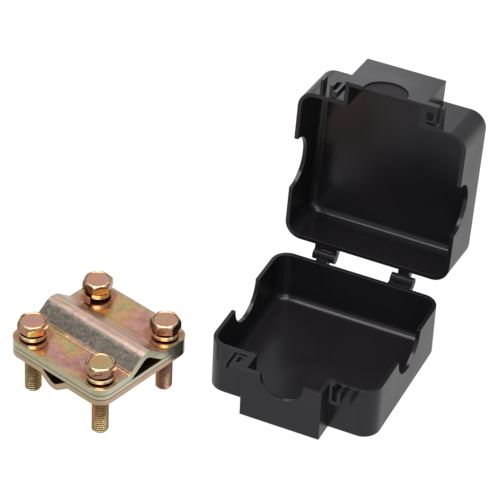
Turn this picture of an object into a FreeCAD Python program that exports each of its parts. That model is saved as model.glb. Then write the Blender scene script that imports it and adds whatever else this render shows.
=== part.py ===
import FreeCAD
import Part
import math
import os
from FreeCAD import Vector

# Cable branch clamp: a steel plate clamp with four bolts, taken out of its hinged insulating casing.
# The clamp stands on its bolt tips at the left, and the casing lies open at the right.
# Millimetres. The origin is the middle of the casing's underside, +Z is up,
# -Y is the side of the casing's branch spout, and +X is to the right seen from there.

# Casing shell: lid and base are the same moulding
casing_width = 86.0
casing_depth = 81.0
shell_height = 28.0
shell_wall = 2.0
plan_corner_r = 8.5
floor_edge_chamfer = 0.8
inner_floor_r = 3.8
seam_gap = 0.1

# Cable ways: half-round notches at the rim, and the spout for the branch
main_notch_r = 13.5
spout_width = 40.5
spout_reach = 11.0
branch_notch_r = 11.0
web_thickness = 0.8
web_setback = 1.2
web_drop = 0.3

# Snap hinges behind the back wall
hinge_setback = 5.2
hinge_offset = 20.5
hinge_eye_r = 2.6
hinge_pin_r = 1.3
hinge_pin_clearance = 0.06
hinge_side_clearance = 0.12
hinge_arm_width = 5.8
hinge_ear_width = 2.8
hinge_lug_height = 7.0
hinge_snap_gap = 2.0
lid_opening_deg = 96.0

# Snap latches in the corners beside the spout
latch_reach = 11.0
latch_inner_x = 20.9
catch_width = 8.6
catch_thickness = 3.2
catch_slot = 1.2
catch_guard = 1.5
catch_wall_gap = 0.9
window_width = 3.4
window_depth = 4.2
window_inset = 0.7
window_setback = 0.9
hook_thickness = 1.6
hook_depth = 3.0
hook_barb = 0.9
hook_barb_height = 1.6
hook_past_catch = 1.8
hook_bend_depth = 7.4
hook_bend_r = 1.8
hook_slot_width = 2.4
hook_leg = 1.7
hook_groove = 3.6
hook_rib = 1.3
hook_rib_reach = 8.0

# Steel plates of the clamp
plate_side = 61.0
plate_corner_r = 7.0
bolt_edge_distance = 8.7
bolt_pitch = plate_side - 2 * bolt_edge_distance
bottom_plate_t = 3.0
middle_plate_t = 2.5
top_plate_t = 3.5
bolt_hole_r = 4.5
thread_clearance = 0.05

# Roof-shaped jaws pressed into the outer plates
jaw_flank_deg = 36.5
jaw_foot_r = 1.2
main_jaw_half_width = 10.6
main_jaw_crown_r = 3.8
branch_jaw_half_width = 8.0
branch_jaw_crown_r = 3.2

# Bolts M8 x 35 and their spring washers
bolt_r = 4.0
bolt_length = 35.0
head_height = 5.3
head_across_flats = 13.0
head_face_r = 5.75
head_chamfer_deg = 25.0
washer_outer_r = 6.5
washer_bore_r = 4.1
washer_t = 2.0
washer_free_height = 4.0
washer_split = 1.1
washer_seat_gap = 0.02

# Where the clamp stands, and how each hexagon head happens to be turned
clamp_place_x = -88.4
clamp_place_y = -63.2
clamp_turn_deg = -16.5
bolt_spots = {"front": (1, -1), "right": (1, 1), "back": (-1, 1), "left": (-1, -1)}
head_turn_deg = {"front": -70.6, "right": -21.7, "back": -62.5, "left": -62.9}
washer_split_deg = {"front": 118.0, "right": 150.0, "back": -76.0, "left": 135.0}

front_y = -casing_depth / 2
back_y = casing_depth / 2
hinge_y = back_y + hinge_setback
hinge_z = shell_height + seam_gap / 2
bottom_plate_z = bolt_length - washer_free_height - top_plate_t - middle_plate_t - bottom_plate_t
middle_plate_z = bottom_plate_z + bottom_plate_t
top_plate_z = middle_plate_z + middle_plate_t
washer_z = top_plate_z + top_plate_t

X = Vector(1, 0, 0)
Y = Vector(0, 1, 0)
Z = Vector(0, 0, 1)
THROUGH = 1.0
SAME = 1e-6


def box(x0, x1, y0, y1, z0, z1):
    """Block between two corners."""
    return Part.makeBox(x1 - x0, y1 - y0, z1 - z0, Vector(x0, y0, z0))


def upright_edges(shape):
    """Edges of a shape that run along Z."""
    found = []
    for edge in shape.Edges:
        a, b = edge.Vertexes[0].Point, edge.Vertexes[-1].Point
        if abs(a.x - b.x) < SAME and abs(a.y - b.y) < SAME and abs(a.z - b.z) > SAME:
            found.append(edge)
    return found


def is_along_y(edge):
    """Whether an edge runs along Y."""
    a, b = edge.Vertexes[0].Point, edge.Vertexes[-1].Point
    return abs(a.x - b.x) < SAME and abs(a.z - b.z) < SAME


def edges_at_height(shape, z):
    """Edges of a shape that lie in the plane at height z."""
    return [edge for edge in shape.Edges if all(abs(v.Point.z - z) < SAME for v in edge.Vertexes)]


def rounded_block(x_half, y0, y1, z0, z1, corner_r):
    """Block with round upright corners."""
    block = box(-x_half, x_half, y0, y1, z0, z1)
    return block.makeFillet(corner_r, upright_edges(block))


def rounded_path(points, radii):
    """Edges of a bent line through points, where each inner point is rounded with its own radius."""
    edges = []
    start = points[0]
    for before, corner, after, radius in zip(points, points[1:], points[2:], radii):
        into = (corner - before).normalize()
        out = (after - corner).normalize()
        turn = into.getAngle(out)
        cut = radius * math.tan(turn / 2)
        arc_start = corner - into * cut
        arc_end = corner + out * cut
        bisector = (out - into).normalize()
        centre = corner + bisector * (radius / math.cos(turn / 2))
        middle = centre - bisector * radius
        if (arc_start - start).Length > SAME:
            edges.append(Part.makeLine(start, arc_start))
        edges.append(Part.Arc(arc_start, middle, arc_end).toShape())
        start = arc_end
    edges.append(Part.makeLine(start, points[-1]))
    return edges


def polygon_face(points):
    """Flat face inside a closed outline of straight lines."""
    return Part.Face(Part.makePolygon(points + [points[0]]))


def hinge_lug_profile(x):
    """Side view of a hinge lug: a web from the back wall that ends in a round eye on the hinge axis."""
    root = back_y - shell_wall / 2
    low = shell_height - hinge_lug_height
    web_top = shell_height - seam_gap
    slope = hinge_eye_r / math.sqrt(2)
    web = polygon_face([
        Vector(x, root, low),
        Vector(x, back_y, low),
        Vector(x, hinge_y + slope, hinge_z - slope),
        Vector(x, hinge_y, hinge_z - seam_gap),
        Vector(x, hinge_y, web_top),
        Vector(x, root, web_top),
    ])
    return web


def hinge_lug(x0, x1):
    """Hinge lug between two planes across the hinge axis."""
    web = hinge_lug_profile(x0).extrude(X * (x1 - x0))
    eye = Part.makeCylinder(hinge_eye_r, x1 - x0, Vector(x0, hinge_y, hinge_z), X)
    return web.fuse(eye).removeSplitter()


def hinge_arm():
    """Single arm with a bore that snaps over the other half's pin through a narrow mouth."""
    x0 = -hinge_offset - hinge_arm_width / 2
    arm = hinge_lug(x0, x0 + hinge_arm_width)
    bore_r = hinge_pin_r + hinge_pin_clearance
    bore = Part.makeCylinder(bore_r, hinge_arm_width + 2 * THROUGH,
                            Vector(x0 - THROUGH, hinge_y, hinge_z), X)
    mouth = box(x0 - THROUGH, x0 + hinge_arm_width + THROUGH, hinge_y, hinge_y + 2 * hinge_eye_r,
                hinge_z - hinge_snap_gap / 2, hinge_z + hinge_snap_gap / 2)
    mouth.rotate(Vector(0, hinge_y, hinge_z), X, 45)
    return arm.cut(bore).cut(mouth)


def hinge_bracket():
    """Two ears with a pin moulded between them."""
    gap_half = hinge_arm_width / 2 + hinge_side_clearance
    outer_half = gap_half + hinge_ear_width
    ears = hinge_lug(hinge_offset - outer_half, hinge_offset - gap_half)
    ears = ears.fuse(hinge_lug(hinge_offset + gap_half, hinge_offset + outer_half))
    pin_from = hinge_offset - outer_half + hinge_ear_width / 2
    pin_length = 2 * outer_half - hinge_ear_width
    return ears.fuse(Part.makeCylinder(hinge_pin_r, pin_length, Vector(pin_from, hinge_y, hinge_z), X))


def window_span():
    """The catch's window as x from the spout and y from the front wall, both measured outwards."""
    x0 = latch_inner_x + window_inset
    y0 = catch_wall_gap + catch_slot + window_setback
    return x0, x0 + window_width, y0, y0 + window_depth


def catch():
    """Springy tongue with a window, cut free of the front wall and of its guard rib by an L-shaped slot."""
    spout_side = spout_width / 2 - shell_wall / 2
    outer = latch_inner_x + catch_width
    low = shell_height - catch_thickness
    plate = box(-outer, -spout_side, front_y - latch_reach, front_y + shell_wall / 2, low, shell_height)
    slot_outer = outer - catch_guard
    slot_inner = slot_outer - catch_slot
    long_leg = box(-slot_outer, -slot_inner, front_y - latch_reach - THROUGH, front_y - catch_wall_gap,
                   low - THROUGH, shell_height + THROUGH)
    short_leg = box(-slot_outer, -latch_inner_x - catch_slot / 2, front_y - catch_wall_gap - catch_slot,
                    front_y - catch_wall_gap, low - THROUGH, shell_height + THROUGH)
    x0, x1, y0, y1 = window_span()
    window = box(-x1, -x0, front_y - y1, front_y - y0, low - THROUGH, shell_height + THROUGH)
    return plate.cut(long_leg).cut(short_leg).cut(window)


def hook_prong(prong_x, y0, y1):
    """Barbed end of the hook, from the middle of its bend up through the other half's catch."""
    root_z = shell_height - hook_bend_depth / 2
    tip_z = shell_height + seam_gap + catch_thickness + hook_past_catch
    barb_z = shell_height + seam_gap + catch_thickness + seam_gap
    inner_x = prong_x + hook_thickness
    return polygon_face([
        Vector(prong_x, y0, root_z),
        Vector(prong_x, y0, tip_z),
        Vector(prong_x + hook_thickness / 2, y0, tip_z),
        Vector(inner_x + hook_barb, y0, tip_z - hook_barb_height / 2),
        Vector(inner_x + hook_barb, y0, barb_z),
        Vector(inner_x, y0, barb_z),
        Vector(inner_x, y0, root_z),
    ]).extrude(Y * (y1 - y0))


def hook():
    """Snap hook bent like a U: its barbed prong is free, its other leg is a web from the front wall."""
    x0, x1, y0, y1 = window_span()
    prong_x = x0 + (window_width - hook_thickness - hook_barb) / 2
    leg_x = prong_x + hook_thickness + hook_slot_width
    outer_x = leg_x + hook_leg
    middle_y = front_y - (y0 + y1) / 2
    near_y, far_y = middle_y - hook_depth / 2, middle_y + hook_depth / 2
    low, top = shell_height - hook_bend_depth, shell_height - seam_gap
    bend = box(prong_x, outer_x, near_y, far_y, low, top)
    bend = bend.makeFillet(hook_bend_r, [edge for edge in edges_at_height(bend, low) if is_along_y(edge)])
    slot_r = hook_slot_width / 2
    slot = box(prong_x + hook_thickness, leg_x, near_y - THROUGH, far_y + THROUGH,
               low + hook_leg + slot_r, top + THROUGH)
    slot = slot.fuse(Part.makeCylinder(slot_r, hook_depth + 2 * THROUGH,
                                       Vector(leg_x - slot_r, near_y - THROUGH, low + hook_leg + slot_r), Y))
    leg = box(leg_x, outer_x, near_y, front_y + shell_wall / 2, low + hook_bend_r, top)
    rib_x = outer_x + hook_groove
    rib = box(rib_x, rib_x + hook_rib, front_y - hook_rib_reach, front_y + shell_wall / 2,
              low + hook_bend_r, top)
    return bend.cut(slot).fuse([hook_prong(prong_x, near_y, far_y), leg, rib])


def cable_notches():
    """Half-round ways for the main cable, left and right, and for the branch, at the front."""
    main = Part.makeCylinder(main_notch_r, casing_width + 2 * THROUGH,
                             Vector(-casing_width / 2 - THROUGH, 0, shell_height), X)
    side_cut = main.cut(box(-casing_width / 2 + shell_wall * 2, casing_width / 2 - shell_wall * 2,
                            -casing_depth, casing_depth, 0, 2 * shell_height))
    branch = Part.makeCylinder(branch_notch_r, shell_wall + 2 * THROUGH,
                               Vector(0, front_y - spout_reach - THROUGH, shell_height), Y)
    return side_cut, branch


def knock_out_web():
    """Thin half-moon skin that closes the branch notch until it is broken out."""
    y0 = front_y - spout_reach + web_setback
    disc = Part.makeCylinder(branch_notch_r + shell_wall / 2, web_thickness, Vector(0, y0, shell_height), Y)
    limit = 2 * branch_notch_r
    return disc.common(box(-limit, limit, y0 - THROUGH, y0 + THROUGH + web_thickness,
                           0, shell_height - web_drop))


def outer_form():
    """Outside of one half, spout included, as a full block with its floor edge broken all round."""
    half_spout = spout_width / 2
    body = rounded_block(casing_width / 2, front_y, back_y, 0, shell_height, plan_corner_r)
    spout = box(-half_spout, half_spout, front_y - spout_reach, front_y + shell_wall, 0, shell_height)
    block = body.fuse(spout).removeSplitter()
    return block.makeChamfer(floor_edge_chamfer, edges_at_height(block, 0))


def inner_form():
    """Inside of one half with its round floor edge, and of the spout in front of it."""
    cavity = rounded_block(casing_width / 2 - shell_wall, front_y + shell_wall, back_y - shell_wall,
                           shell_wall, shell_height + THROUGH, plan_corner_r - shell_wall)
    cavity = cavity.makeFillet(inner_floor_r, edges_at_height(cavity, shell_wall))
    half_mouth = spout_width / 2 - shell_wall
    mouth = box(-half_mouth, half_mouth, front_y - spout_reach + shell_wall,
                front_y + shell_wall + inner_floor_r, shell_wall, shell_height + THROUGH)
    return cavity.fuse(mouth)


def half_shell(closed_branch):
    """One half of the casing, lying open side up."""
    inside = inner_form()
    shell = outer_form().cut(inside)
    for notch in cable_notches():
        shell = shell.cut(notch)
    for fitting in (hinge_arm(), hinge_bracket(), catch(), hook()):
        shell = shell.fuse(fitting.cut(inside))
    if closed_branch:
        shell = shell.fuse(knock_out_web())
    return shell.removeSplitter()


def casing_base():
    """Lower half, with its branch web broken out."""
    return half_shell(closed_branch=False)


def casing_lid():
    """Upper half: the same moulding turned over on the seam, then opened on the hinges."""
    shell = half_shell(closed_branch=True)
    shell.rotate(Vector(0, 0, hinge_z), Y, 180)
    shell.rotate(Vector(0, hinge_y, hinge_z), X, -lid_opening_deg)
    return shell


def jaw_line(lift, half_width, crown_r, foot_r):
    """One face of a sheet with a roof-shaped jaw, seen along the jaw. Lift is its distance from the inner face."""
    flank = math.radians(jaw_flank_deg)
    foot = half_width + lift * math.tan(flank / 2)
    crown_z = half_width * math.tan(flank) + lift / math.cos(flank)
    reach = plate_side / 2 + THROUGH
    points = [
        Vector(0, -reach, lift),
        Vector(0, -foot, lift),
        Vector(0, 0, crown_z),
        Vector(0, foot, lift),
        Vector(0, reach, lift),
    ]
    return rounded_path(points, [foot_r, crown_r, foot_r])


def jaw_sheet(thickness, half_width, crown_r):
    """Long sheet with one jaw along X, bulging up, its flat part lying on z = 0."""
    inner = jaw_line(0, half_width, crown_r, jaw_foot_r + thickness)
    outer = jaw_line(thickness, half_width, crown_r + thickness, jaw_foot_r)
    start_in, start_out = inner[0].Vertexes[0].Point, outer[0].Vertexes[0].Point
    end_in, end_out = inner[-1].Vertexes[-1].Point, outer[-1].Vertexes[-1].Point
    sides = [Part.makeLine(start_in, start_out), Part.makeLine(end_in, end_out)]
    wire = Part.Wire(Part.__sortEdges__(inner + outer + sides))
    sheet = Part.Face(wire).extrude(X * (plate_side + 2 * THROUGH))
    sheet.translate(Vector(-plate_side / 2 - THROUGH, 0, 0))
    return sheet


def plate_blank(z0, z1):
    """Square prism with round corners, which trims every plate to one outline."""
    half = plate_side / 2
    blank = box(-half, half, -half, half, z0, z1)
    return blank.makeFillet(plate_corner_r, upright_edges(blank))


def bolt_holes(radius, z0, z1):
    """Four cylinders on the bolt axes."""
    half = bolt_pitch / 2
    pins = []
    for x in (-half, half):
        for y in (-half, half):
            pins.append(Part.makeCylinder(radius, z1 - z0, Vector(x, y, z0)))
    return Part.makeCompound(pins)


def jaw_plate(thickness, half_width, crown_r, hole_r):
    """Outer plate of the clamp with its jaw along X, bulging up, flat part on z = 0."""
    sheet = jaw_sheet(thickness, half_width, crown_r)
    plate = sheet.common(plate_blank(-THROUGH, plate_side))
    return plate.cut(bolt_holes(hole_r, -THROUGH, plate_side))


def bottom_plate():
    """Threaded plate, its smaller jaw facing down and across the main one."""
    plate = jaw_plate(bottom_plate_t, branch_jaw_half_width, branch_jaw_crown_r, bolt_r + thread_clearance)
    plate.rotate(Vector(0, 0, 0), X, 180)
    plate.rotate(Vector(0, 0, 0), Z, 90)
    plate.translate(Z * middle_plate_z)
    return plate


def middle_plate():
    """Flat plate between the two conductors."""
    plate = plate_blank(middle_plate_z, top_plate_z)
    return plate.cut(bolt_holes(bolt_hole_r, middle_plate_z - THROUGH, top_plate_z + THROUGH))


def top_plate():
    """Plate under the bolt heads, its jaw over the main conductor."""
    plate = jaw_plate(top_plate_t, main_jaw_half_width, main_jaw_crown_r, bolt_hole_r)
    plate.translate(Z * top_plate_z)
    return plate


def hex_bolt(spot):
    """Bolt with a chamfered hexagon head, standing on its tip."""
    side_x, side_y = bolt_spots[spot]
    corner_r = head_across_flats / 2 / math.cos(math.radians(30))
    corners = []
    for step in range(6):
        angle = math.radians(head_turn_deg[spot] + 60 * step)
        corners.append(Vector(corner_r * math.cos(angle), corner_r * math.sin(angle), bolt_length))
    head = polygon_face(corners).extrude(Z * head_height)
    drop = (corner_r + THROUGH - head_face_r) * math.tan(math.radians(head_chamfer_deg))
    top = bolt_length + head_height
    cap = Part.makeCone(corner_r + THROUGH, head_face_r, drop, Vector(0, 0, top - drop))
    body = Part.makeCylinder(corner_r + THROUGH, head_height - drop, Vector(0, 0, bolt_length))
    head = head.common(cap.fuse(body))
    bolt = head.fuse(Part.makeCylinder(bolt_r, bolt_length))
    bolt.translate(Vector(side_x * bolt_pitch / 2, side_y * bolt_pitch / 2, 0))
    return bolt


def washer_arm(rise, y0, y1):
    """Half of a sprung washer's blank: level beyond the bore at -X, then straight up or down to the split at +X."""
    far = washer_outer_r + THROUGH
    slope = rise / (washer_outer_r + washer_bore_r)
    low = -washer_t / 2
    return polygon_face([
        Vector(-far, y0, low),
        Vector(-washer_bore_r, y0, low),
        Vector(far, y0, low + slope * (far + washer_bore_r)),
        Vector(far, y0, low + slope * (far + washer_bore_r) + washer_t),
        Vector(-washer_bore_r, y0, low + washer_t),
        Vector(-far, y0, low + washer_t),
    ]).extrude(Y * (y1 - y0))


def spring_washer(spot):
    """Split ring whose two arms spring apart, wound the left-hand way so that its ends bite on loosening."""
    side_x, side_y = bolt_spots[spot]
    far = washer_outer_r + THROUGH
    half_rise = (washer_free_height - washer_t) / 2 - washer_seat_gap
    blank = washer_arm(half_rise, 0, far).fuse(washer_arm(-half_rise, -far, 0))
    tube = Part.makeCylinder(washer_outer_r, 2 * far, Vector(0, 0, -far))
    tube = tube.cut(Part.makeCylinder(washer_bore_r, 2 * far, Vector(0, 0, -far)))
    ring = tube.common(blank).cut(box(0, far, -washer_split / 2, washer_split / 2, -far, far))
    ring = ring.removeSplitter()
    ring.rotate(Vector(0, 0, 0), Z, washer_split_deg[spot])
    ring.translate(Vector(side_x * bolt_pitch / 2, side_y * bolt_pitch / 2, washer_z + washer_free_height / 2))
    return ring


def stand_clamp(shape):
    """Turn and move a piece of the clamp to where the clamp stands beside the casing."""
    shape.rotate(Vector(0, 0, 0), Z, clamp_turn_deg)
    shape.translate(Vector(clamp_place_x, clamp_place_y, 0))
    return shape


def all_pieces():
    """Every piece by node name."""
    pieces = {
        "casing_base": casing_base(),
        "casing_lid": casing_lid(),
        "bottom_plate": stand_clamp(bottom_plate()),
        "middle_plate": stand_clamp(middle_plate()),
        "top_plate": stand_clamp(top_plate()),
    }
    for spot in bolt_spots:
        pieces["bolt_" + spot] = stand_clamp(hex_bolt(spot))
        pieces["spring_washer_" + spot] = stand_clamp(spring_washer(spot))
    return pieces


def main():
    """Write one STEP file per piece."""
    os.makedirs("parts", exist_ok=True)
    for name, shape in all_pieces().items():
        shape.exportStep(os.path.join("parts", name + ".step"))
        print(name, "solids", len(shape.Solids), "volume", round(shape.Volume, 1), "valid", shape.isValid())


main()
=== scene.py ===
import math

import bpy
import bmesh
from mathutils import Matrix, Vector


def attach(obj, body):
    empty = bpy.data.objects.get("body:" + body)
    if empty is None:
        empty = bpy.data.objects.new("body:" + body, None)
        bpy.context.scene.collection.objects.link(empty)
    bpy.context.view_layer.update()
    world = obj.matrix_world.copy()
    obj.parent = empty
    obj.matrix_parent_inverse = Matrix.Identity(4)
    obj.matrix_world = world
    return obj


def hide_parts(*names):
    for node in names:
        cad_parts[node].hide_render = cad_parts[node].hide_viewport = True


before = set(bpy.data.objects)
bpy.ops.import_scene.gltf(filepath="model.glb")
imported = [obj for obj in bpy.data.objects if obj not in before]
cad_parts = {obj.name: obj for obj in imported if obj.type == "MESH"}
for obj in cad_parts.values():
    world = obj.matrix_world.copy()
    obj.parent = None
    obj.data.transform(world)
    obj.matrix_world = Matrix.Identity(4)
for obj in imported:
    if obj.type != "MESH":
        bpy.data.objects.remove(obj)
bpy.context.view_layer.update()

SCENE = bpy.context.scene
MM = 0.001

# The photograph's camera: azimuth, elevation and roll in degrees, place in millimetres
CAMERA_AZ = 23.0586
CAMERA_EL = 37.1742
CAMERA_ROLL = 2.8912
CAMERA_TARGET = Vector((-38.45, -5.93, 60.14))
CAMERA_DISTANCE = 1331.2
CAMERA_FOCAL_PX = 2830.87
CAMERA_CLIP_M = (0.05, 20.0)
IMAGE_PX = 500.0
SENSOR_MM = 36.0

# The clamp's place on the floor, as in the CAD source
CLAMP_CENTRE = Vector((-88.4, -63.2, 0.0))
CLAMP_TURN = math.radians(-16.5)
BOLT_PITCH = 43.6
# Each bolt's side along and across the clamp, and its head's turn in degrees
BOLT_SPOTS = {
    "front": (1, -1, -70.6),
    "right": (1, 1, -21.7),
    "back": (-1, 1, -62.5),
    "left": (-1, -1, -62.9),
}
BOLT_LENGTH = 35.0

# The hexagon head. Its top is dished, and its sides end in a round chamfer above and below: the lower edge
# rises by BEARING_SLOPE for each millimetre outward.
HEAD_HEIGHT = 5.3
HEAD_FLATS = 13.0
HEAD_FACE_R = 6.1
HEAD_CHAMFER = math.radians(30)
BEARING_SLOPE = 0.45
BEARING_INNER_R = 3.6
DISH_DEPTH = 0.3
HEAD_STEPS = 96
# Rings at the sides' lower edge: in from the side, up from the bearing face's chamfer
BEARING_RINGS = ((0.1, 0.25), (0.0, 0.4))
# Rings at the sides' upper edge: in from the side, up from where the chamfer meets it
SHOULDER_RINGS = ((0.0, -0.28), (0.07, -0.06), (0.25, 0.25 * math.tan(HEAD_CHAMFER)))
# Rings of the top: out from its face radius, down from its height
TOP_RINGS = ((0.10, 0.07), (-0.05, 0.0), (-0.30, 0.03), (-0.50, 0.20), (-0.75, DISH_DEPTH),
             (-0.95, DISH_DEPTH))
# A bolt's materials, and which of them each band of its head takes from the bearing face up
# The pale rim bands at the head's top edges are painted highlight lines.
SIDE, RIM_HIGHLIGHT, TOP, CREST, ROOT_SHADE = range(5)
HEAD_BANDS = (SIDE,) * 5 + (RIM_HIGHLIGHT,) + (SIDE,) * 2 + (RIM_HIGHLIGHT,) * 2 + (SIDE,) * 2 + (TOP,) * 2
HEAD_SHARP = math.radians(28)
MERGE_DISTANCE = 1e-4

THREAD_PITCH = 1.25
THREAD_MAJOR_R = 4.0
THREAD_MINOR_R = 3.3
THREAD_STEPS = 40
# One turn of the thread: part of the pitch, radius
THREAD_PROFILE = (
    (0.0, THREAD_MAJOR_R - 0.03),
    (0.0625, THREAD_MAJOR_R),
    (0.125, THREAD_MAJOR_R - 0.03),
    (0.42, THREAD_MINOR_R + 0.05),
    (0.5625, THREAD_MINOR_R),
    (0.705, THREAD_MINOR_R + 0.05),
)
# Faces within ROOT_R, or facing down by more than UNDERCUT_NORMAL, get painted shade: the root's dark
# material
ROOT_R = THREAD_MINOR_R + 0.2
UNDERCUT_NORMAL = -0.3
# The tip's radius, and its growth for each millimetre up
TIP_R = THREAD_MINOR_R - 0.15
TIP_SLOPE = 1.1

# The casing's hinge line, how far the lid stands open, and its thin branch web, which WEB_DEPTH spans
# from its outer face
HINGE_Y = 45.7
HINGE_Z = 28.05
LID_OPENING = math.radians(96)
WEB_OUTER_Y = -50.3
WEB_REACH_X = 12.2
WEB_SOFT_X = 0.4
WEB_DEPTH = (-0.5, 1.0)
# The small webs behind the hinge pins
HINGE_WEB_BOX = ((17.3, 40.2, 21.4), (23.7, 42.9, 27.9))
HINGE_WEB_ROUND = 0.25
CAD_SHARP = math.radians(32)

# Black plastic. HINGE_REACH is how far from the hinge line the hinges' dim skin ends, and where it is full.
PLASTIC_DARK = (0.0052, 0.0047, 0.0053)
PLASTIC_LIGHT = (0.0080, 0.0073, 0.0082)
PLASTIC_TINT = (0.97, 0.93, 1.0, 1.0)
PLASTIC_IOR = 1.36
PLASTIC_ROUGHNESS = (0.18, 0.26)
GRAZING_ROUGHNESS = 0.15
WEB_ROUGHNESS = 0.6
PLAIN_REFLECTION = 0.5
HINGE_REFLECTION = 0.16
HINGE_PEEL = 10.0
HINGE_REACH = (4.2, 3.0)

# Colours of the zinc plating
PINK = (0.66, 0.35, 0.31)
ROSE = (0.54, 0.27, 0.23)
ORANGE = (0.70, 0.38, 0.19)
GOLD = (0.60, 0.45, 0.21)
GREEN = (0.48, 0.47, 0.27)
HEAD_PINK = (0.34, 0.17, 0.145)
HEAD_ORANGE = (0.36, 0.18, 0.08)
HEAD_GOLD = (0.44, 0.31, 0.13)
EDGE_PINK = (0.52, 0.35, 0.25)
CROWN = (0.42, 0.31, 0.25)
FOOT_GOLD = (0.42, 0.32, 0.15)
PALE_GREEN = (0.52, 0.50, 0.36)
OLIVE = (0.30, 0.25, 0.13)
BOLT_SHADOW_RED = (0.44, 0.18, 0.105)
DARK_BROWN = (0.09, 0.045, 0.025)
GREY = (0.165, 0.142, 0.118)
DARK_GREY = (0.10, 0.085, 0.075)
PALE_PINK = (0.44, 0.36, 0.30)
CREAM = (0.86, 0.72, 0.46)
THREAD_GOLD = (0.50, 0.38, 0.18)
# Painted shade of the thread's grooves; the black also marks the joints between the plates
ROOT_SHADE_BROWN = (0.03, 0.02, 0.012)
JOINT_AND_SHADE_BLACK = (0.012, 0.011, 0.010)
# Colours of the painted glint on one facet of the left and back bolt heads
PAINTED_GLINT_GOLD = (0.96, 0.70, 0.24)
PAINTED_GLINT_ORANGE = (0.94, 0.47, 0.20)
SPECKLE = (0.72, 0.70, 0.66)
WHITE = (1.0, 1.0, 1.0)
# Direction of the head facet that gets a painted orange glint, on the left and back bolts only
GLINT_FACET = math.radians(-49.2)

# Roughness of the plating: where it is glossiest and where it is dullest, and what wear adds on the jaw
PLATE_ROUGHNESS = (0.15, 0.25)
WASHER_ROUGHNESS = (0.18, 0.3)
HEAD_ROUGHNESS = (0.12, 0.22)
TOP_ROUGHNESS = (0.14, 0.24)
CREST_ROUGHNESS = (0.25, 0.4)
ROOT_ROUGHNESS = (0.4, 0.5)
JAW_WEAR = 0.14

# Fine relief: bump strength and depth, the pits' noise, and how far edges look rounded, in millimetres
PEEL_STRENGTH = 0.12
PEEL_DEPTH = 0.05
PIT_SCALE = 1400.0
PIT_STRENGTH = 0.15
THREAD_PIT_STRENGTH = 0.05
PIT_DEPTH = 0.03
BEVEL_SAMPLES = 6
PLASTIC_ROUND = 0.35
PLATE_ROUND = 0.3
WASHER_ROUND = 0.2
HEAD_SIDE_ROUND = 0.15
HEAD_TOP_ROUND = 0.1
THREAD_ROUND = 0.05

# Where the plates' colours change, in millimetres in the clamp's own axes
JAW_FOOT = (11.6, 12.6)
BOLT_SHADOW_REACH = (11.0, 7.5)
RIM_REACH = (26.5, 30.0)
WORN_FLANK = (-10.0, -2.6)
CROWN_FLANK = (-2.0, 9.0)
RAISED_JAW = (31.3, 32.2)
CUT_REACH = (28.4, 28.6)
LOWEST_PLATE = (25.05, 24.95)
JOINT_HEIGHTS = (25.0, 27.5)
JOINT_HALF = 0.16
WANDER = 5.0

# Studio, in metres and watts. The floor lies just under the product's rest face.
FLOOR_SIZE = 8.0
FLOOR_DROP = 0.0002
WORLD_STRENGTH = 0.68
# Name, place, point that it looks at, width, height, power
SOFTBOXES = (
    ("top_softbox", (-0.1, -0.1, 1.6), (-0.04, 0.0, 0.03), 1.5, 1.5, 45.0),
    ("back_softbox", (-1.0, 1.6, 0.92), (-0.03, 0.0, 0.1), 1.1, 0.4, 2.3),
    ("front_softbox", (0.45, -1.5, 1.2), (-0.04, 0.0, 0.05), 1.4, 1.0, 15.0),
)


def make_camera():
    """Camera that sees the product as the photograph does."""
    az = math.radians(CAMERA_AZ)
    el = math.radians(CAMERA_EL)
    roll = math.radians(CAMERA_ROLL)
    back = Vector((math.sin(az) * math.cos(el), -math.cos(az) * math.cos(el), math.sin(el)))
    right = Vector((math.cos(az), math.sin(az), 0.0))
    up = back.cross(right)
    side = right * math.cos(roll) + up * math.sin(roll)
    top = up * math.cos(roll) - right * math.sin(roll)
    eye = (CAMERA_TARGET + back * CAMERA_DISTANCE) * MM
    data = bpy.data.cameras.new("photo_camera")
    data.sensor_width = SENSOR_MM
    data.sensor_fit = "HORIZONTAL"
    data.lens = CAMERA_FOCAL_PX / IMAGE_PX * SENSOR_MM
    data.clip_start, data.clip_end = CAMERA_CLIP_M
    camera = bpy.data.objects.new("photo_camera", data)
    SCENE.collection.objects.link(camera)
    turn = Matrix((side, top, back)).transposed().to_4x4()
    camera.matrix_world = Matrix.Translation(eye) @ turn
    SCENE.camera = camera


def ramp(tree, source, stops):
    """Colour ramp through (position, colour) stops, fed by source."""
    made = tree.nodes.new("ShaderNodeValToRGB")
    elements = made.color_ramp.elements
    elements[0].position, elements[0].color = stops[0][0], (*stops[0][1], 1.0)
    elements[1].position, elements[1].color = stops[-1][0], (*stops[-1][1], 1.0)
    for position, colour in stops[1:-1]:
        element = elements.new(position)
        element.color = (*colour, 1.0)
    tree.links.new(source, made.inputs["Fac"])
    return made.outputs["Color"]


def noise(tree, coords, scale, detail=3.0, roughness=0.55, distortion=0.0):
    """Noise texture over coordinates in metres, as its factor output."""
    made = tree.nodes.new("ShaderNodeTexNoise")
    made.inputs["Scale"].default_value = scale
    made.inputs["Detail"].default_value = detail
    made.inputs["Roughness"].default_value = roughness
    made.inputs["Distortion"].default_value = distortion
    tree.links.new(coords, made.inputs["Vector"])
    return made.outputs["Fac"]


def mix_colour(tree, fac, first, second, blend="MIX"):
    """Mix of two colours, each a socket or a value."""
    made = tree.nodes.new("ShaderNodeMix")
    made.data_type = "RGBA"
    made.blend_type = blend
    for value, name in ((fac, 0), (first, 6), (second, 7)):
        socket = made.inputs[name]
        if isinstance(value, bpy.types.NodeSocket):
            tree.links.new(value, socket)
        elif isinstance(value, (int, float)):
            socket.default_value = value
        else:
            socket.default_value = (*value, 1.0)
    return made.outputs[2]


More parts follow.
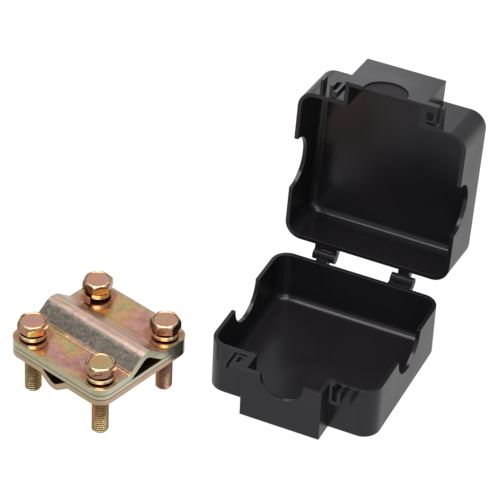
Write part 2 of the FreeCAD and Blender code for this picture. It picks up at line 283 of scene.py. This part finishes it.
def calc(tree, operation, *values):
    """Math node over sockets and numbers."""
    made = tree.nodes.new("ShaderNodeMath")
    made.operation = operation
    for socket, value in zip(made.inputs, values):
        if isinstance(value, bpy.types.NodeSocket):
            tree.links.new(value, socket)
        else:
            socket.default_value = value
    return made.outputs[0]


def tint(tree, base, colour, mask, strength=1.0):
    """Base with a colour laid over it where a mask is 1, as far as strength."""
    return mix_colour(tree, calc(tree, "MULTIPLY", mask, strength), base, colour)


def remap(tree, value, low, high, to_low=0.0, to_high=1.0, kind="LINEAR"):
    """Value carried from the range low to high into another range, and held at its ends."""
    made = tree.nodes.new("ShaderNodeMapRange")
    made.interpolation_type = kind
    made.inputs["From Min"].default_value = low
    made.inputs["From Max"].default_value = high
    made.inputs["To Min"].default_value = to_low
    made.inputs["To Max"].default_value = to_high
    tree.links.new(value, made.inputs["Value"])
    return made.outputs["Result"]


def step(tree, value, low, high):
    """Smooth rise from 0 at low to 1 at high, or a fall where low is the larger."""
    return remap(tree, value, low, high, kind="SMOOTHSTEP")


def band(tree, value, low, high, soft):
    """1 between low and high, with soft shoulders outside."""
    rise = step(tree, value, low - soft, low)
    return calc(tree, "MULTIPLY", rise, step(tree, value, high + soft, high))


def dot(tree, vector, direction):
    """Scalar product of a vector socket and a fixed direction."""
    made = tree.nodes.new("ShaderNodeVectorMath")
    made.operation = "DOT_PRODUCT"
    tree.links.new(vector, made.inputs[0])
    made.inputs[1].default_value = direction
    return made.outputs["Value"]


def split(tree, vector):
    """The three components of a vector socket."""
    made = tree.nodes.new("ShaderNodeSeparateXYZ")
    tree.links.new(vector, made.inputs["Vector"])
    return made.outputs["X"], made.outputs["Y"], made.outputs["Z"]


def length(tree, x, y):
    """Length of the level vector with sides x and y."""
    squares = calc(tree, "ADD", calc(tree, "MULTIPLY", x, x), calc(tree, "MULTIPLY", y, y))
    return calc(tree, "SQRT", squares)


def facing(tree, direction):
    """How far the surface faces a direction at rest, from -1 to 1. It keeps to the piece as it turns."""
    return dot(tree, tree.nodes.new("ShaderNodeTexCoord").outputs["Normal"], direction)


def start_material(name):
    """Material with an empty tree but for a Principled shader, and its object coordinates."""
    material = bpy.data.materials.new(name)
    material.use_nodes = True
    tree = material.node_tree
    shader = tree.nodes["Principled BSDF"]
    coords = tree.nodes.new("ShaderNodeTexCoord").outputs["Object"]
    return material, tree, shader, coords


def rounded_normal(tree, radius_mm):
    """Normal that rounds sharp edges by a small radius."""
    made = tree.nodes.new("ShaderNodeBevel")
    made.samples = BEVEL_SAMPLES
    made.inputs["Radius"].default_value = radius_mm * MM
    return made.outputs["Normal"]


def bump(tree, height, strength, distance_mm, normal):
    """Bump from a height socket over a normal, as a normal output."""
    made = tree.nodes.new("ShaderNodeBump")
    made.inputs["Strength"].default_value = strength
    made.inputs["Distance"].default_value = distance_mm * MM
    tree.links.new(height, made.inputs["Height"])
    tree.links.new(normal, made.inputs["Normal"])
    return made.outputs["Normal"]


def web_mask(tree, coords):
    """1 on the lid's thin web in its spout."""
    inward = (0, math.cos(LID_OPENING) / MM, -math.sin(LID_OPENING) / MM)
    web = WEB_OUTER_Y - HINGE_Y + HINGE_Y * math.cos(LID_OPENING) - HINGE_Z * math.sin(LID_OPENING)
    depth = band(tree, dot(tree, coords, inward), web + WEB_DEPTH[0], web + WEB_DEPTH[1], 0.1)
    aside = calc(tree, "ABSOLUTE", split(tree, coords)[0])
    within = step(tree, aside, WEB_REACH_X * MM, (WEB_REACH_X - WEB_SOFT_X) * MM)
    return calc(tree, "MULTIPLY", depth, within)


def hinge_mask(tree, coords):
    """1 on the snap hinges."""
    _, y, z = split(tree, coords)
    beyond = calc(tree, "MULTIPLY_ADD", y, 1 / MM, -HINGE_Y)
    above = calc(tree, "MULTIPLY_ADD", z, 1 / MM, -HINGE_Z)
    return step(tree, length(tree, beyond, above), *HINGE_REACH)


def black_plastic():
    """Glossy moulded black plastic with faint flow marks, duller on the thin web and dim on the hinges."""
    material, tree, shader, coords = start_material("casing_black_plastic")
    tone = ramp(tree, noise(tree, coords, 22.0, 4.0), [(0.3, PLASTIC_DARK), (0.7, PLASTIC_LIGHT)])
    tree.links.new(tone, shader.inputs["Base Color"])

    smudge = remap(tree, noise(tree, coords, 60.0, 5.0, 0.6), 0.3, 0.75, *PLASTIC_ROUGHNESS)
    grazing = step(tree, tree.nodes.new("ShaderNodeLayerWeight").outputs["Facing"], 0.58, 0.72)
    dull = calc(tree, "ADD", calc(tree, "MULTIPLY", grazing, GRAZING_ROUGHNESS),
                calc(tree, "MULTIPLY", web_mask(tree, coords), WEB_ROUGHNESS))
    tree.links.new(calc(tree, "ADD", smudge, dull), shader.inputs["Roughness"])

    hinge = hinge_mask(tree, coords)
    reflection = remap(tree, hinge, 0.0, 1.0, PLAIN_REFLECTION, HINGE_REFLECTION)
    tree.links.new(reflection, shader.inputs["Specular IOR Level"])
    shader.inputs["Specular Tint"].default_value = PLASTIC_TINT
    shader.inputs["IOR"].default_value = PLASTIC_IOR

    peel = calc(tree, "MULTIPLY", noise(tree, coords, 900.0, 2.0),
                remap(tree, hinge, 0.0, 1.0, 1.0, HINGE_PEEL))
    skin = bump(tree, peel, PEEL_STRENGTH, PEEL_DEPTH, rounded_normal(tree, PLASTIC_ROUND))
    tree.links.new(skin, shader.inputs["Normal"])
    return material


def zinc_surface(tree, shader, coords, colour, fine_scale, rough, edge_mm, grain=PIT_STRENGTH, wear=0.0):
    """Finish of every zinc-plated piece: fine mottling, gloss within rough's two ends and a pitted bump."""
    fine = noise(tree, coords, fine_scale, 5.0, 0.65)
    speckle = ramp(tree, fine, [(0.32, SPECKLE), (0.62, WHITE)])
    tree.links.new(mix_colour(tree, 0.5, colour, speckle, "MULTIPLY"), shader.inputs["Base Color"])
    shader.inputs["Metallic"].default_value = 1.0
    gloss = calc(tree, "ADD", remap(tree, fine, 0.3, 0.7, *rough), wear)
    tree.links.new(gloss, shader.inputs["Roughness"])
    pits = noise(tree, coords, PIT_SCALE, 3.0, 0.6)
    skin = bump(tree, pits, grain, PIT_DEPTH, rounded_normal(tree, edge_mm))
    tree.links.new(skin, shader.inputs["Normal"])


def zinc(name, stops, patch_scale, rough, edge_mm, grain=PIT_STRENGTH):
    """Yellow zinc plating whose passivation drifts through the stops' colours in soft patches."""
    material, tree, shader, coords = start_material(name)
    colour = ramp(tree, noise(tree, coords, patch_scale, 4.0, 0.6, 0.8), stops)
    zinc_surface(tree, shader, coords, colour, patch_scale * 9.0, rough, edge_mm, grain)
    return material


def head_side_zinc_and_glint():
    """Zinc of the bolt heads' sides: bronze, with a painted orange glint on one facet of the left and back
    heads.
    """
    material, tree, shader, coords = start_material("head_side_zinc_and_glint")
    bronze = ramp(tree, noise(tree, coords, 190.0, 4.0, 0.6, 0.8),
                  [(0.40, DARK_BROWN), (0.46, HEAD_ORANGE), (0.54, HEAD_PINK), (0.60, HEAD_ORANGE),
                   (0.70, HEAD_GOLD)])
    # Painted glint: the facet facing that direction turns bright orange, standing in for the lit plate's
    # reflection.
    bright = ramp(tree, noise(tree, coords, 210.0), [(0.42, PAINTED_GLINT_GOLD), (0.56, PAINTED_GLINT_ORANGE)])
    facet = facing(tree, (math.cos(GLINT_FACET), math.sin(GLINT_FACET), 0))
    colour = tint(tree, bronze, bright, step(tree, facet, 0.992, 0.998))
    zinc_surface(tree, shader, coords, colour, 1710.0, HEAD_ROUGHNESS, HEAD_SIDE_ROUND)
    return material


def washer_zinc():
    """Zinc of the spring washers: pale round the outside, with painted shade on the faces that lie against
    head and plate.
    """
    material, tree, shader, coords = start_material("washer_yellow_zinc")
    pale = ramp(tree, noise(tree, coords, 120.0, 4.0), [(0.3, GOLD), (0.45, CREAM), (0.7, CREAM)])
    # Painted shade: faces that lie level against head and plate are darkened.
    level = step(tree, calc(tree, "ABSOLUTE", facing(tree, (0, 0, 1))), 0.6, 0.9)
    colour = tint(tree, pale, HEAD_ORANGE, level)
    zinc_surface(tree, shader, coords, colour, 900.0, WASHER_ROUGHNESS, WASHER_ROUND)
    return material


def clamp_axes(tree, coords):
    """The clamp's own axes in millimetres: along its main jaw, across it, and up."""
    made = tree.nodes.new("ShaderNodeMapping")
    made.inputs["Scale"].default_value = (1 / MM, 1 / MM, 1 / MM)
    made.inputs["Rotation"].default_value = (0, 0, -CLAMP_TURN)
    made.inputs["Location"].default_value = -(Matrix.Rotation(-CLAMP_TURN, 3, "Z") @ CLAMP_CENTRE)
    tree.links.new(coords, made.inputs["Vector"])
    return split(tree, made.outputs["Vector"])


def plate_zinc():
    """Zinc of the three plates: pink faces with gold and green drifts, a worn grey jaw, pale cut edges."""
    material, tree, shader, coords = start_material("plate_yellow_zinc")
    along, across, up = clamp_axes(tree, coords)
    far_along = calc(tree, "ABSOLUTE", along)
    far_across = calc(tree, "ABSOLUTE", across)
    wander = calc(tree, "MULTIPLY_ADD", noise(tree, coords, 70.0), WANDER, -WANDER / 2)
    colour = ramp(tree, noise(tree, coords, 27.0, 4.0, 0.6, 1.0),
                  [(0.30, GREEN), (0.36, GOLD), (0.42, ORANGE), (0.48, PINK), (0.54, ROSE), (0.61, PINK),
                   (0.70, ORANGE)])

    # Golden lines along the jaw's feet, a red painted shadow and reflection round the bolts and a green
    # rim, with wandering borders
    foot = band(tree, calc(tree, "ABSOLUTE", calc(tree, "ADD", across, wander)), *JAW_FOOT, 1.0)
    colour = tint(tree, colour, FOOT_GOLD, foot, 0.6)
    bolt_gap = length(tree, calc(tree, "SUBTRACT", far_along, BOLT_PITCH / 2),
                      calc(tree, "SUBTRACT", far_across, BOLT_PITCH / 2))
    # Painted shadow and reflection: the plate turns red in a ring round each bolt.
    bolt_shadow = step(tree, calc(tree, "ADD", bolt_gap, wander), *BOLT_SHADOW_REACH)
    colour = tint(tree, colour, BOLT_SHADOW_RED, bolt_shadow, 0.8)
    reach = calc(tree, "MAXIMUM", far_along, far_across)
    rim = step(tree, calc(tree, "ADD", reach, wander), *RIM_REACH)
    colour = tint(tree, colour, GREEN, rim, 0.7)

    # The raised jaw: one flank worn grey, its crown and the other flank brown
    raised = step(tree, up, *RAISED_JAW)
    worn = ramp(tree, noise(tree, coords, 560.0, 5.0, 0.8),
                [(0.40, DARK_GREY), (0.48, GREY), (0.56, GREY), (0.70, PALE_PINK)])
    colour = tint(tree, colour, worn, band(tree, across, *WORN_FLANK, 1.4), raised)
    crown = calc(tree, "MULTIPLY", band(tree, across, *CROWN_FLANK, 1.6), raised)
    colour = tint(tree, colour, CROWN, crown, 0.8)

    # The cut edges, darker as painted shade where they face the clamp's front, with the dark joint lines
    # between the plates
    upright = step(tree, calc(tree, "ABSOLUTE", facing(tree, (0, 0, 1))), 0.55, 0.25)
    cut_side = calc(tree, "MULTIPLY", upright, step(tree, reach, *CUT_REACH))
    edge = tint(tree, PALE_GREEN, EDGE_PINK, step(tree, up, *LOWEST_PLATE))
    # Painted shade: cut edges facing the clamp's front turn olive.
    shaded_near_side = step(tree, facing(tree, clamp_direction(0, -1)), 0.2, 0.9)
    edge = tint(tree, edge, OLIVE, shaded_near_side, 0.55)
    colour = tint(tree, colour, edge, cut_side)
    for height in JOINT_HEIGHTS:
        line = band(tree, up, height - JOINT_HALF, height + JOINT_HALF, JOINT_HALF / 2)
        colour = tint(tree, colour, JOINT_AND_SHADE_BLACK, line, cut_side)
    wear = calc(tree, "MULTIPLY", raised, JAW_WEAR)
    zinc_surface(tree, shader, coords, colour, 340.0, PLATE_ROUGHNESS, PLATE_ROUND, wear=wear)
    return material


def clamp_direction(x, y):
    """Level direction given in the clamp's own axes."""
    return Matrix.Rotation(CLAMP_TURN, 3, "Z") @ Vector((x, y, 0))


def clamp_point(x, y):
    """Floor point given in the clamp's own axes, in metres in the shared frame."""
    c, s = math.cos(CLAMP_TURN), math.sin(CLAMP_TURN)
    return Vector((CLAMP_CENTRE.x + x * c - y * s, CLAMP_CENTRE.y + x * s + y * c, 0)) * MM


def smooth(obj, sharp=CAD_SHARP):
    """Smooth shading that keeps edges over an angle sharp."""
    obj.data.shade_smooth()
    obj.data.set_sharp_from_angle(angle=sharp)


def dress(name, material):
    """One material on a CAD node, smoothly shaded."""
    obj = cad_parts[name]
    obj.data.materials.clear()
    obj.data.materials.append(material)
    smooth(obj)


def add_object(name, work, materials, place=None):
    """New object from a bmesh, which is freed, with its materials."""
    mesh = bpy.data.meshes.new(name)
    work.to_mesh(mesh)
    work.free()
    if place is not None:
        mesh.transform(place)
    for material in materials:
        mesh.materials.append(material)
    obj = bpy.data.objects.new(name, mesh)
    SCENE.collection.objects.link(obj)
    return obj


def bridge(work, lower, upper):
    """Quads between two closed rings of the same length."""
    count = len(lower)
    for i in range(count):
        j = (i + 1) % count
        work.faces.new((lower[i], lower[j], upper[j], upper[i]))


def cap(work, loop, centre, flip=False):
    """Fan of triangles from an anticlockwise ring to its centre, facing up, or down with flip."""
    middle = work.verts.new(centre)
    for i, a in enumerate(loop):
        b = loop[(i + 1) % len(loop)]
        work.faces.new((b, a, middle) if flip else (a, b, middle))


def hex_radius(angle, turn):
    """Distance from the axis to the head's side at an angle."""
    local = (angle - turn) % math.radians(60) - math.radians(30)
    return HEAD_FLATS / 2 / math.cos(local)


def head_rings(turn):
    """Rings of the chamfered hexagon head, from the bearing face up to the slightly dished top."""
    angles = [turn + 2 * math.pi * i / HEAD_STEPS for i in range(HEAD_STEPS)]
    top = BOLT_LENGTH + HEAD_HEIGHT
    rings = []

    def add(radius_of, height_of):
        rings.append([Vector((radius_of(a) * math.cos(a), radius_of(a) * math.sin(a), height_of(a)))
                      for a in angles])

    def side(a):
        return hex_radius(a, turn)

    def bearing(a):
        return BOLT_LENGTH + BEARING_SLOPE * (side(a) - HEAD_FLATS / 2)

    def shoulder(a):
        return top - max(side(a) - HEAD_FACE_R, 0.0) * math.tan(HEAD_CHAMFER)

    add(lambda a: BEARING_INNER_R, lambda a: BOLT_LENGTH)
    add(lambda a: HEAD_FACE_R, lambda a: BOLT_LENGTH)
    for inward, rise in BEARING_RINGS:
        add(lambda a: side(a) - inward, lambda a: bearing(a) + rise)
    add(side, lambda a: (BOLT_LENGTH + shoulder(a)) / 2)
    for inward, rise in SHOULDER_RINGS:
        add(lambda a: side(a) - inward, lambda a: shoulder(a) + rise)
    for outward, drop in TOP_RINGS:
        add(lambda a: HEAD_FACE_R + outward, lambda a: top - drop)
    return rings


def threaded_shank(work):
    """Shank with a right-hand thread and a chamfered tip."""
    angles = [2 * math.pi * i / THREAD_STEPS for i in range(THREAD_STEPS)]
    per_turn = len(THREAD_PROFILE)
    grid = []
    for turn in range(-1, int(BOLT_LENGTH / THREAD_PITCH) + 2):
        for phase, radius in THREAD_PROFILE:
            line = []
            for i, angle in enumerate(angles):
                z = max((turn + phase + i / THREAD_STEPS) * THREAD_PITCH, 0.0)
                limited = min(radius, TIP_R + z * TIP_SLOPE)
                point = (limited * math.cos(angle), limited * math.sin(angle), min(z, BOLT_LENGTH))
                line.append(work.verts.new(point))
            grid.append(line)
    for j in range(len(grid) - 1):
        for i in range(THREAD_STEPS - 1):
            work.faces.new((grid[j][i], grid[j][i + 1], grid[j + 1][i + 1], grid[j + 1][i]))
        if j + per_turn + 1 < len(grid):
            work.faces.new((grid[j][-1], grid[j + per_turn][0], grid[j + per_turn + 1][0], grid[j + 1][-1]))
    tip = [work.verts.new((TIP_R * math.cos(a), TIP_R * math.sin(a), 0.0)) for a in angles]
    cap(work, tip, Vector((0, 0, 0)), flip=True)


def make_bolt(spot, materials):
    """Bolt with a real thread, in place of the plain CAD one. Materials are in the order SIDE to ROOT_SHADE."""
    side_x, side_y, turn_deg = BOLT_SPOTS[spot]
    work = bmesh.new()
    rings = [[work.verts.new(point) for point in points] for points in head_rings(math.radians(turn_deg))]
    for lower, upper in zip(rings, rings[1:]):
        bridge(work, lower, upper)
    cap(work, rings[-1], Vector((0, 0, BOLT_LENGTH + HEAD_HEIGHT - DISH_DEPTH)))
    head_faces = len(work.faces)
    threaded_shank(work)
    work.normal_update()
    for index, face in enumerate(work.faces):
        if index < head_faces:
            face.material_index = HEAD_BANDS[index // HEAD_STEPS]
        else:
            low = math.hypot(*face.calc_center_median().xy) < ROOT_R
            face.material_index = ROOT_SHADE if low or face.normal.z < UNDERCUT_NORMAL else CREST
    bmesh.ops.remove_doubles(work, verts=work.verts[:], dist=MERGE_DISTANCE)
    bmesh.ops.dissolve_degenerate(work, edges=work.edges[:], dist=MERGE_DISTANCE)
    centre = clamp_point(side_x * BOLT_PITCH / 2, side_y * BOLT_PITCH / 2)
    place = Matrix.Translation(centre) @ Matrix.Rotation(CLAMP_TURN, 4, "Z") @ Matrix.Scale(MM, 4)
    obj = add_object("threaded_bolt_" + spot, work, materials, place)
    smooth(obj, HEAD_SHARP)
    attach(obj, spot + "_bolt")
    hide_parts("bolt_" + spot)


def lid_point(x, y, z):
    """Where a point of the lower half, in millimetres, lies on the open lid, which is the same moulding."""
    dy, dz = y - HINGE_Y, HINGE_Z - z
    c, s = math.cos(LID_OPENING), math.sin(LID_OPENING)
    return Vector((-x, HINGE_Y + dy * c + dz * s, HINGE_Z - dy * s + dz * c))


def make_hinge_web(name, body, is_lid, material):
    """Small web that joins a hinge's two ears behind its pin, flush with the casing's wall."""
    work = bmesh.new()
    bmesh.ops.create_cube(work, size=1.0)
    low, high = HINGE_WEB_BOX
    for vertex in work.verts:
        vertex.co = Vector([(a + b) / 2 + (b - a) * c for a, b, c in zip(low, high, vertex.co)])
    bmesh.ops.bevel(work, geom=work.edges[:], offset=HINGE_WEB_ROUND, segments=2, profile=0.6,
                    affect="EDGES")
    for vertex in work.verts:
        vertex.co = (lid_point(*vertex.co) if is_lid else vertex.co) * MM
    bmesh.ops.recalc_face_normals(work, faces=work.faces[:])
    obj = add_object(name, work, (material,))
    smooth(obj)
    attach(obj, body)


def dress_product():
    """Materials for every CAD piece, threaded bolts and the small webs of the hinges."""
    plastic = black_plastic()
    for name in ("casing_base", "casing_lid"):
        dress(name, plastic)
    plate = plate_zinc()
    for name in ("bottom_plate", "middle_plate", "top_plate"):
        dress(name, plate)
    washer = washer_zinc()
    for spot in BOLT_SPOTS:
        dress("spring_washer_" + spot, washer)

    side = head_side_zinc_and_glint()
    # Pale rings painted on the heads' edges as highlight lines
    rim = zinc("head_rim_highlight_zinc", [(0.35, OLIVE), (0.48, GOLD), (0.62, CREAM)],
               260.0, HEAD_ROUGHNESS, HEAD_TOP_ROUND)
    pink_top = zinc("head_top_zinc", [(0.40, ORANGE), (0.47, PINK), (0.55, PINK), (0.62, GOLD)],
                    150.0, TOP_ROUGHNESS, HEAD_TOP_ROUND)
    gold_top = zinc("head_top_gold_zinc", [(0.38, ORANGE), (0.47, GOLD), (0.60, GREEN)],
                    120.0, TOP_ROUGHNESS, HEAD_TOP_ROUND)
    gold_crest = zinc("thread_zinc", [(0.3, OLIVE), (0.45, THREAD_GOLD), (0.7, ORANGE)],
                      60.0, CREST_ROUGHNESS, THREAD_ROUND, THREAD_PIT_STRENGTH)
    red_crest = zinc("thread_red_zinc", [(0.3, GOLD), (0.5, ROSE), (0.7, ORANGE)],
                     60.0, CREST_ROUGHNESS, THREAD_ROUND, THREAD_PIT_STRENGTH)
    # Painted shade in the thread's grooves and on the undersides of its flanks
    root = zinc("thread_root_shade_zinc", [(0.3, JOINT_AND_SHADE_BLACK), (0.7, ROOT_SHADE_BROWN)],
                90.0, ROOT_ROUGHNESS, THREAD_ROUND, THREAD_PIT_STRENGTH)
    for spot in BOLT_SPOTS:
        top = gold_top if spot == "front" else pink_top
        crest = red_crest if spot == "right" else gold_crest
        make_bolt(spot, (side, rim, top, crest, root))
    make_hinge_web("hinge_web_base", "base", False, plastic)
    make_hinge_web("hinge_web_lid", "lid", True, plastic)


def area_light(name, place, aim, width, height, power):
    """Rectangular white softbox that looks at a point."""
    data = bpy.data.lights.new(name, "AREA")
    data.shape = "RECTANGLE"
    data.size = width
    data.size_y = height
    data.energy = power
    lamp = bpy.data.objects.new(name, data)
    SCENE.collection.objects.link(lamp)
    lamp.location = place
    direction = Vector(aim) - Vector(place)
    lamp.rotation_euler = direction.to_track_quat("-Z", "Y").to_euler()


def make_studio():
    """White floor without shadows, soft white surroundings and three softboxes."""
    bpy.ops.mesh.primitive_plane_add(size=FLOOR_SIZE, location=(0, 0, -FLOOR_DROP))
    floor = bpy.context.object
    floor.name = "studio_floor"
    material, _, shader, _ = start_material("studio_floor_white")
    shader.inputs["Base Color"].default_value = (0.0, 0.0, 0.0, 1.0)
    shader.inputs["Roughness"].default_value = 0.9
    shader.inputs["Emission Color"].default_value = (*WHITE, 1.0)
    shader.inputs["Emission Strength"].default_value = 1.0
    floor.data.materials.append(material)

    world = bpy.data.worlds.new("studio_world")
    world.use_nodes = True
    background = world.node_tree.nodes["Background"]
    background.inputs["Color"].default_value = (*WHITE, 1.0)
    background.inputs["Strength"].default_value = WORLD_STRENGTH
    SCENE.world = world
    for softbox in SOFTBOXES:
        area_light(*softbox)
    SCENE.view_settings.view_transform = "Standard"
    SCENE.view_settings.look = "None"
    SCENE.view_settings.exposure = 0.0


make_camera()
dress_product()
make_studio()

bpy.context.view_layer.update()
